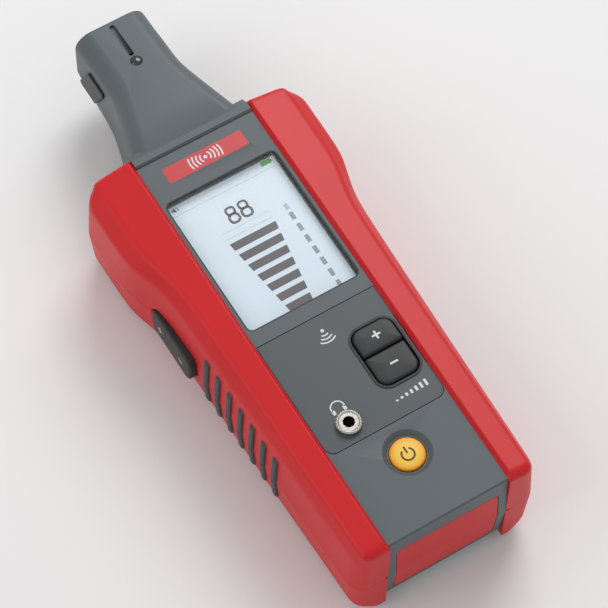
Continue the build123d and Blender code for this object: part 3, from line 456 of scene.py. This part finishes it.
# ---------------------------------------------------------------- grip ribs
# Dark rubber ribs across the side walls, seven on each side. Each is two rounded bars
# that meet on the parting line, where the wall changes its lean.
rib_rubber = plain_paint("rib_rubber", (62, 67, 68), (78, 84, 85), 0.4, 0.55, 0.02)
rib_box = [np.array(c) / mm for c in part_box("left_front_ribs")]
rib_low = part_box("left_rear_ribs")[0].z / mm
rib_half, rib_proud, rib_lean = 1.15, 0.95, 0.4
first_rib = rib_box[1][1] - rib_half - rib_lean
rib_pitch = (rib_box[1][1] - rib_box[0][1] - 2 * rib_half - rib_lean) / 6


def rib_bar(side, y_start, z_start, y_stop, z_stop):
    """Bar with a rounded square section carried along the wall; its ends slope down fast."""
    t = np.linspace(0, 1, 26)[:, None]
    y = y_start + (y_stop - y_start) * t
    z = z_start + (z_stop - z_start) * t
    turn = np.linspace(0, 2 * pi, 20, endpoint=False)[None, :]
    squared = 1 / (np.abs(np.cos(turn)) ** 3 + np.abs(np.sin(turn)) ** 3) ** (1 / 3)
    height = rib_proud * (1 - np.abs(2 * t - 1) ** 14) ** 0.5
    grid = np.empty((26, 20, 3))
    grid[..., 1] = y + rib_half * squared * np.cos(turn)
    grid[..., 2] = z
    grid[..., 0] = side * (side_surface(y, z) + np.sin(turn) * squared * (height + 0.02))
    return grid


for side, hand in ((-1, "left"), (1, "right")):
    for end, stop_z in (("front", rib_box[1][2]), ("rear", rib_low)):
        start_z = parting + (0.08 if end == "front" else -0.08)
        bars = []
        for k in range(7):
            y = first_rib - k * rib_pitch
            bars.append(rib_bar(side, y, start_z, y + rib_lean, stop_z))
        piece = skins(f"{hand}_{end}_rib_bars", bars)
        rib_rubber.wear(piece)
        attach(piece, "body")
        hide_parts(f"{hand}_{end}_ribs")

# ---------------------------------------------------------------- grey shells
# Front and rear case in satin moulded plastic with a fine spark-eroded grain. Their
# outside edges are broken a little, as they come from the mould.
def softened(name, node, width, rides_on="body"):
    """Copy of a CAD node with its edges broken by a small bevel; it stands for the node."""
    mesh = nodes[node].data.copy()
    mesh.name = name
    work = bmesh.new()
    work.from_mesh(mesh)
    bmesh.ops.remove_doubles(work, verts=work.verts, dist=2e-6)
    bmesh.ops.dissolve_limit(work, angle_limit=radians(0.5), verts=work.verts, edges=work.edges)
    work.to_mesh(mesh)
    work.free()
    mesh.shade_smooth()
    mesh.set_sharp_from_angle(angle=radians(28))
    made = bpy.data.objects.new(name, mesh)
    bpy.context.scene.collection.objects.link(made)
    edge = made.modifiers.new("broken_edges", "BEVEL")
    edge.width = width * mm
    edge.segments = 2
    edge.limit_method = "ANGLE"
    edge.angle_limit = radians(35)
    edge.harden_normals = True
    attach(made, rides_on)
    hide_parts(node)
    return made


def moulded(name, dark, light, rough, grain_depth):
    """Grained plastic: a slow drift of colour and a grain about a fifth of a millimetre."""
    paint = Paint(name, Specular_IOR_Level=0.5)
    drift = paint.noise(40.0, 1.0)
    fine = paint.noise(0.22, 1.5)
    paint.feed("Base Color", paint.blend(drift * 0.5 + fine * 0.5, colour(*dark), colour(*light)))
    paint.feed("Roughness", fine * 0.14 + rough)
    paint.bump(fine, grain_depth, 0.6)
    return paint


grey = moulded("grey_case", (78, 86, 90), (98, 107, 111), 0.40, 0.014)
for node, name in (("front_case", "front_shell"), ("rear_case", "rear_shell")):
    piece = softened(name, node, 0.2)
    grey.wear(piece)

# ---------------------------------------------------------------- end panel and badge
# A red plate let into the heel across both shells, and a red plate above the display
# with a sign of sound waves instead of a name.
plate = softened("heel_plate", "end_panel", 0.3)
red.wear(plate)
badge_red = plain_paint("badge_red", (196, 18, 28), (206, 24, 34), 6.0, 0.3)
badge_red.wear(nodes["badge_plate"])


def arc(x, y, radius, start, stop, count=24):
    """Points on an arc about x, y, from start to stop degrees."""
    turn = np.radians(np.linspace(start, stop, count))
    return np.column_stack([x + radius * np.cos(turn), y + radius * np.sin(turn)])


def stroke(path, width):
    """Outline of a line of that width along a path of x, y points."""
    path = np.asarray(path, float)
    ahead = np.gradient(path, axis=0)
    ahead /= np.linalg.norm(ahead, axis=1, keepdims=True)
    across = np.column_stack([-ahead[:, 1], ahead[:, 0]]) * width / 2
    return np.concatenate([path + across, (path - across)[::-1]])


def bar(x, y, wide, tall):
    """Outline of an upright rectangle about x, y."""
    return [
        (x - wide / 2, y - tall / 2), (x + wide / 2, y - tall / 2),
        (x + wide / 2, y + tall / 2), (x - wide / 2, y + tall / 2),
    ]


def printed(name, body, paint, grids):
    """Thin print made of closed slabs, riding on a body."""
    piece = skins(name, grids)
    paint.wear(piece)
    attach(piece, body)
    return piece


white_print = plain_paint("white_print", (212, 214, 216), (232, 234, 236), 0.5, 0.45)
badge = [np.array(c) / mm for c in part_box("badge_plate")]
badge_y = (badge[0][1] + badge[1][1]) / 2
on_badge = (badge[1][2] - 0.05, badge[1][2] + 0.04)
waves = [slab(arc(0, badge_y, 0.62, 0, 345, 20), *on_badge)]
for side, middle in ((1, 0), (-1, 180)):
    for radius, reach in ((1.7, 48), (2.9, 36), (4.1, 28), (5.3, 22)):
        path = arc(0, badge_y, radius, middle - reach, middle + reach)
        waves.append(slab(stroke(path, 0.5), *on_badge))
printed("badge_waves", "body", white_print, waves)

# ---------------------------------------------------------------- display
# Colour module behind a clear window in a black frame. Its picture is drawn as thin
# prints on the glass: a big number, seven bars that narrow, a dashed scale and signs.
glass_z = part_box("display_glass")[1].z / mm
lcd = Paint("lcd_glass", Roughness=0.3)
wash = lcd.noise(45.0, 1.0)
lcd.feed("Base Color", lcd.blend(wash, colour(196, 212, 224), colour(212, 226, 236)))
lcd.feed("Emission Color", lcd.blend(wash, colour(200, 216, 230), colour(220, 232, 242)))
lcd.shader.inputs["Emission Strength"].default_value = 0.16
lcd.wear(nodes["display_glass"])
window = Paint("clear_window", Roughness=0.05, Alpha=0.06)
smear = window.noise(18.0)
window.feed("Base Color", window.blend(smear, colour(235, 240, 245), colour(250, 252, 255)))
window.wear(nodes["display_window"])

ink = plain_paint("display_ink", (46, 38, 40), (58, 48, 50), 3.0, 0.4)
ghost = plain_paint("display_grey", (128, 136, 148), (142, 150, 160), 3.0, 0.4)
pale = plain_paint("display_pale", (176, 188, 200), (186, 198, 210), 3.0, 0.4)
leaf = plain_paint("display_green", (70, 178, 44), (90, 196, 60), 3.0, 0.4)
on_glass = (glass_z - 0.02, glass_z + 0.05)
bars_top, bars_pitch, bar_tall, bars_run = 10.8, 4.28, 2.62, 28.3
bars = []
for k in range(7):
    y_high = bars_top - bars_pitch * k
    y_low = y_high - bar_tall
    share = [(bars_top - y) / bars_run for y in (y_low, y_high)]
    bars.append(slab(
        [(-8.3 + 4.0 * share[0], y_low), (7.5 - 4.1 * share[0], y_low),
         (7.5 - 4.1 * share[1], y_high), (-8.3 + 4.0 * share[1], y_high)],
        *on_glass,
    ))
printed("display_bars", "body", ink, bars)


def oval_ring(x, y, half_x, half_y, width, z_low, z_high):
    """Closed ring with a square section, a little squarer than an ellipse."""
    turn = np.linspace(0, 2 * pi, 40, endpoint=False)
    round_x = np.sign(np.cos(turn)) * np.abs(np.cos(turn)) ** 0.8
    round_y = np.sign(np.sin(turn)) * np.abs(np.sin(turn)) ** 0.8
    walls = []
    for inset, z in ((0, z_low), (0, z_high), (width, z_high), (width, z_low), (0, z_low)):
        walls.append(np.column_stack([
            x + (half_x - inset) * round_x, y + (half_y - inset) * round_y, np.full(40, z)
        ]))
    return np.stack(walls)


digits = []
for x in (-2.35, 1.95):
    digits.append(oval_ring(x, 20.55, 1.7, 1.6, 0.72, *on_glass))
    digits.append(oval_ring(x, 17.85, 1.95, 1.9, 0.8, *on_glass))
digit_piece = skins("display_number", digits, ends=False)
ink.wear(digit_piece)
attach(digit_piece, "body")

dashes = [slab(bar(12.8, 11.0 - 4.42 * k - 1.3, 1.35, 2.7), *on_glass) for k in range(7)]
printed("display_scale", "body", ghost, dashes)
cell_sign = [slab(bar(15.2, 29.4, 3.4, 1.6), *on_glass), slab(bar(17.1, 29.4, 0.4, 0.8), *on_glass)]
printed("display_battery", "body", leaf, cell_sign)
speaker = [(-17.4, 28.8), (-16.9, 28.8), (-16.2, 28.2), (-16.2, 30.0), (-16.9, 29.4), (-17.4, 29.4)]
signs = [slab(speaker, *on_glass), slab(stroke(arc(-16.3, 29.1, 0.95, -50, 50), 0.2), *on_glass)]
printed("display_signs", "body", ink, signs)
rules = [
    slab(bar(0, 27.1, 36.4, 0.14), *on_glass),
    slab(bar(-0.7, 14.7, 17.2, 0.13), *on_glass),
    slab(bar(-0.7, 12.5, 16.8, 0.13), *on_glass),
    slab(bar(12.8, 13.2, 1.35, 2.2), *on_glass),
]
printed("display_rules", "body", pale, rules)

# ---------------------------------------------------------------- control panel
# Satin plate round the keys, with white signs: headphones by the socket, sound waves
# above, and a row of growing ticks under the rocker.
panel_grey = moulded("panel_grey", (66, 73, 77), (84, 92, 96), 0.34, 0.008)
panel_grey.wear(nodes["control_panel"])
socket = [np.array(c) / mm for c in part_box("jack_nut")]
socket_x, socket_y = (socket[0][:2] + socket[1][:2]) / 2
on_face = (face - 0.05, face + 0.03)
phones_y = socket_y + 6.0
pad = rounded_rim(0.5, 0.8, (0.4,) * 4)
panel_signs = [
    slab(stroke(arc(socket_x, phones_y, 2.1, -14, 194, 40), 0.42), *on_face),
    slab(pad + (socket_x - 1.8, phones_y - 0.95), *on_face),
    slab(pad + (socket_x + 1.8, phones_y - 0.95), *on_face),
    slab(arc(-0.6, -28.9, 0.55, 0, 345, 20), *on_face),
]
for radius in (1.7, 2.9, 4.1):
    panel_signs.append(slab(stroke(arc(-0.6, -28.9, radius, 232, 308), 0.45), *on_face))
for k in range(7):
    tall = 0.5 + 0.28 * k
    panel_signs.append(slab(bar(6.2 + 1.7 * k, -59.4 + tall / 2, 0.8, tall), *on_face))
printed("panel_signs", "body", white_print, panel_signs)

# ---------------------------------------------------------------- rubber keys
# The two-part sensitivity rocker in its surround and the volume rocker in the left
# wall: rubber pillows with rounded rims and white signs for more and less.
rubber = Paint("key_rubber", Roughness=0.5)
dust = rubber.noise(0.35)
rubber.feed("Base Color", rubber.blend(dust, colour(36, 37, 39), colour(50, 51, 53)))
rubber.feed("Roughness", dust * 0.2 + 0.38)
rubber.bump(dust, 0.012, 0.5)
black = moulded("black_moulding", (20, 21, 23), (30, 31, 33), 0.36, 0.006)
black.wear(nodes["display_bezel"], nodes["rocker_surround"])


def pillow(half_a, half_b, radii, base, top, rim_radius, dome):
    """Key as rings from its foot to its middle: up the wall, round the rim by a quarter
    circle, then over a low dome."""
    rows = [(0.0, base), (0.0, top - rim_radius)]
    for turn in np.linspace(0.2, pi / 2, 7):
        rows.append((rim_radius * (1 - cos(turn)), top - rim_radius * (1 - sin(turn))))
    reach = min(half_a, half_b) - 0.1
    for t in np.linspace(0.12, 1, 9):
        rows.append((rim_radius + (reach - rim_radius) * t, top + dome * (1 - (1 - t) ** 2)))
    rings = []
    for inset, height in rows:
        rim = rounded_rim(half_a, half_b, radii, inset)
        rings.append(np.column_stack([rim, np.full(len(rim), height)]))
    return np.stack(rings)


key = [np.array(c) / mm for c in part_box("sensitivity_key")]
key_x, key_y = (key[0][:2] + key[1][:2]) / 2
key_half_x, key_half_y = (key[1][:2] - key[0][:2]) / 2
key_top, key_low_top = key[1][2] - 0.22, key[1][2] - 0.9
split = key_y + 0.8
halves = []
for low_y, high_y, top, radii in (
    (split + 0.14, key_y + key_half_y, key_top, (3.3, 3.3, 0.8, 0.8)),
    (key_y - key_half_y, split - 0.14, key_low_top, (0.8, 0.8, 3.3, 3.3)),
):
    half = pillow(key_half_x, (high_y - low_y) / 2, radii, face - 4.0, top, 0.9, 0.2)
    halves.append(half + (key_x, (low_y + high_y) / 2, 0))
core = pillow(key_half_x - 0.4, key_half_y - 0.4, (2.9,) * 4, key[0][2] + 0.8, key_low_top - 1.6, 0.4, 0.0)
halves.append(core + (key_x, key_y, 0))
key_cap = skins("sensitivity_key_cap", halves)
rubber.wear(key_cap)
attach(key_cap, "sensitivity_key")
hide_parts("sensitivity_key")
plus_z = (key_top - 0.1, key_top + 0.21)
minus_z = (key_low_top - 0.1, key_low_top + 0.21)
key_signs = [
    slab(bar(key_x + 0.2, split + 4.7, 2.8, 0.62), *plus_z),
    slab(bar(key_x + 0.2, split + 4.7, 0.62, 2.8), plus_z[0], plus_z[1] - 0.005),
    slab(bar(key_x + 0.2, split - 5.2, 2.6, 0.62), *minus_z),
]
printed("sensitivity_key_signs", "sensitivity_key", white_print, key_signs)

volume_out = -volume_box[0][0]
lobes = pillow(volume_half_y, volume_half_z, (3.0,) * 4, 29.5, volume_out - 0.12, 0.8, 0.12)
near_waist = np.exp(-((lobes[..., 0] / 1.7) ** 2))
lobes[..., 1] *= 1 - 0.14 * near_waist
lobes[..., 2] -= 1.0 * near_waist * np.clip((lobes[..., 2] - 32) / 3, 0, 1)
volume_cap = skins("volume_key_cap", [lobes[..., [2, 0, 1]] * (-1, 1, 1) + (0, volume_y, volume_z)])
rubber.wear(volume_cap)
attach(volume_cap, "volume_key")
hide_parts("volume_key")
flank = (volume_out - 0.3, volume_out + 0.005)
volume_signs = [slab(bar(5.9, 0, 2.6, 0.55), *flank), slab(bar(5.9, 0, 0.55, 2.6), *flank),
                slab(bar(-5.9, 0, 2.4, 0.55), *flank)]
volume_signs = [s[..., [2, 0, 1]] * (-1, 1, 1) + (0, volume_y, volume_z) for s in volume_signs]
printed("volume_key_signs", "volume_key", white_print, volume_signs)
rubber.wear(nodes["left_nose_pad"], nodes["right_nose_pad"], nodes["case_seal"], nodes["sensor_collar"])

# ---------------------------------------------------------------- power button
# Low domed yellow cap, deeper at its rim, with the usual power sign in black. Below
# the dish it has a flange that holds it in and a stem that meets its switch.
def turned(profile, x, y, count=72):
    """Solid turned about a vertical line at x, y: profile rows are radius and height."""
    turn = np.linspace(0, 2 * pi, count, endpoint=False)
    rings = []
    for radius, z in profile:
        rings.append(np.column_stack([
            x + radius * np.cos(turn), y + radius * np.sin(turn), np.full(count, z)
        ]))
    return np.stack(rings)


button = [np.array(c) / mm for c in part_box("power_button")]
button_x, button_y = (button[0][:2] + button[1][:2]) / 2
flange_radius = button[1][0] - button_x
cap_radius, cap_top, face_under = 5.3, button[1][2], face - 2.4
profile = [(0.05, button[0][2]), (1.6, button[0][2]), (1.6, face_under - 1.6),
           (flange_radius, face_under - 1.3),
           (flange_radius, face_under - 0.3), (cap_radius, face_under - 0.3), (cap_radius, cap_top - 0.75)]
for turn in np.linspace(0.2, pi / 2, 7):
    profile.append((cap_radius - 0.6 * (1 - cos(turn)), cap_top - 0.15 - 0.6 * (1 - sin(turn))))
for share in np.linspace(0.1, 0.99, 9):
    profile.append(((cap_radius - 0.6) * (1 - share), cap_top - 0.15 * (1 - share) ** 2))
yellow = Paint("power_yellow", Roughness=0.36)
speck = yellow.noise(0.6)
to_axis = yellow.add(
    "ShaderNodeVectorMath", {"operation": "MULTIPLY"}, {0: yellow.place, 1: (1.0, 1.0, 0.0)}
)
from_axis = yellow.add(
    "ShaderNodeVectorMath", {"operation": "DISTANCE"},
    {0: to_axis, 1: (button_x * mm, button_y * mm, 0.0)}, output="Value",
)
rim_share = yellow.add(
    "ShaderNodeMapRange", {"clamp": True}, {0: from_axis, 1: 3.2 * mm, 2: 5.1 * mm, 3: 0.0, 4: 1.0}
)
middle_tone = yellow.blend(speck, colour(250, 200, 60), colour(253, 208, 74))
yellow.feed("Base Color", yellow.blend(rim_share, middle_tone, colour(243, 160, 22)))
cap = skins("power_cap", [turned(profile, button_x, button_y)])
yellow.wear(cap)
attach(cap, "power_button")
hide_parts("power_button")
on_cap = (cap_top - 0.25, cap_top + 0.012)
power_sign = [
    slab(stroke(arc(button_x, button_y - 0.25, 1.9, 125, 415, 48), 0.55), *on_cap),
    slab(bar(button_x, button_y + 1.25, 0.55, 2.3), *on_cap),
]
printed("power_sign", "power_button", ink, power_sign)

# ---------------------------------------------------------------- headphone socket
# Nickel-plated bushing through the panel, held by a knurled ring nut. The body of the
# socket hangs under the face on the board.
nickel = Paint("nickel_plate", Metallic=1.0, Roughness=0.2)
haze = nickel.noise(0.5)
nickel.feed("Base Color", nickel.blend(haze, colour(196, 192, 184), colour(224, 221, 214)))
nickel.feed("Roughness", haze * 0.14 + 0.14)
nut_radius, nut_bore, nut_top = socket[1][0] - socket_x, 2.95, socket[1][2]
nut_rows = [(nut_bore, face), (nut_radius, face), (nut_radius, nut_top - 0.4), (nut_radius - 0.4, nut_top),
            (nut_bore + 0.35, nut_top), (nut_bore, nut_top - 0.35), (nut_bore, face)]
nut = turned(nut_rows, socket_x, socket_y, 192)
knurl = 1 - 0.035 * np.abs(np.sin(np.linspace(0, 24 * pi, 192, endpoint=False)))
nut[1:4, :, :2] = (nut[1:4, :, :2] - (socket_x, socket_y)) * knurl[None, :, None] + (socket_x, socket_y)
nut_piece = skins("knurled_nut", [nut], ends=False)
nickel.wear(nut_piece)
nickel.wear(nodes["jack_bushing"])
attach(nut_piece, "body")
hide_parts("jack_nut")
black.wear(nodes["headphone_jack"])

# ---------------------------------------------------------------- nose pieces
# A domed indicator lens in the nose's top, and behind the port in its tip a grille,
# the ultrasonic sensor in its rubber collar, and the sensor's own board and leads.
lens_box = [np.array(c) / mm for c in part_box("lamp_lens")]
lens_x, lens_y = (lens_box[0][:2] + lens_box[1][:2]) / 2
lens_radius = (lens_box[1][0] - lens_box[0][0]) / 2
dome = [(0.02, lens_box[0][2]), (lens_radius, lens_box[0][2]), (lens_radius, lens_box[1][2] - 0.9)]
for turn in np.linspace(0.15, pi / 2 - 0.02, 10):
    dome.append((lens_radius * cos(turn), lens_box[1][2] - 0.9 + 0.9 * sin(turn)))
lens = skins("lamp_dome", [turned(dome, lens_x, lens_y)])
smoked = plain_paint("smoked_lens", (44, 46, 50), (56, 58, 62), 1.5, 0.08, Coat_Weight=0.6)
smoked.wear(lens)
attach(lens, "body")
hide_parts("lamp_lens")
black.wear(nodes["sensor_grille"])

# ---------------------------------------------------------------- battery door
# Plain door in the back, held by one screw at the heel end, with finger ridges there.
door = softened("door_plate", "battery_door", 0.25, "battery_door")
grey.wear(door)
door_box = [np.array(c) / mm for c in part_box("battery_door")]
ridges = []
for k in range(5):
    ridge = pillow(6.0 - 0.6 * k, 0.35, (0.34,) * 4, 0.0, 0.28, 0.2, 0.02)
    ridges.append(ridge * (1, 1, -1) + (0, door_box[0][1] + 13.0 + 1.7 * k, door_box[0][2] + 0.1))
ridge_piece = skins("door_ridges", ridges)
grey.wear(ridge_piece)
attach(ridge_piece, "battery_door")

# ---------------------------------------------------------------- inner parts
# Boards, switches, cells, contacts, screws and pins, which show where the case is open
# or when its door swings.
steel = plain_paint("plated_steel", (150, 152, 154), (176, 178, 180), 0.8, 0.3, Metallic=1.0)
inner_paints = (
    (steel, ("rocker_pin", "volume_pin", "board_screws", "case_screws", "door_screw", "contact_plates",
             "contact_springs")),
    (plain_paint("brushed_can", (168, 170, 174), (190, 192, 196), 0.6, 0.35, Metallic=1.0),
     ("ultrasonic_sensor",)),
    (plain_paint("solder_mask", (12, 88, 44), (22, 108, 58), 4.0, 0.35),
     ("main_board", "sensor_board", "volume_board")),
    (plain_paint("cell_jacket", (44, 48, 54), (62, 66, 72), 12.0, 0.25, Coat_Weight=0.4), ("batteries",)),
    (plain_paint("diffuser_white", (216, 218, 220), (236, 238, 240), 6.0, 0.5), ("backlight",)),
    (plain_paint("ribbon_film", (176, 104, 34), (196, 124, 48), 2.0, 0.3), ("display_ribbon", "nose_ribbon")),
    (plain_paint("lead_rubber", (150, 22, 24), (172, 32, 34), 1.0, 0.45), ("sensor_leads",)),
    (black, ("board_components", "sensitivity_switches", "power_switch", "volume_switches", "sounder")),
)
for paint, names in inner_paints:
    for node in names:
        paint.wear(nodes[node])
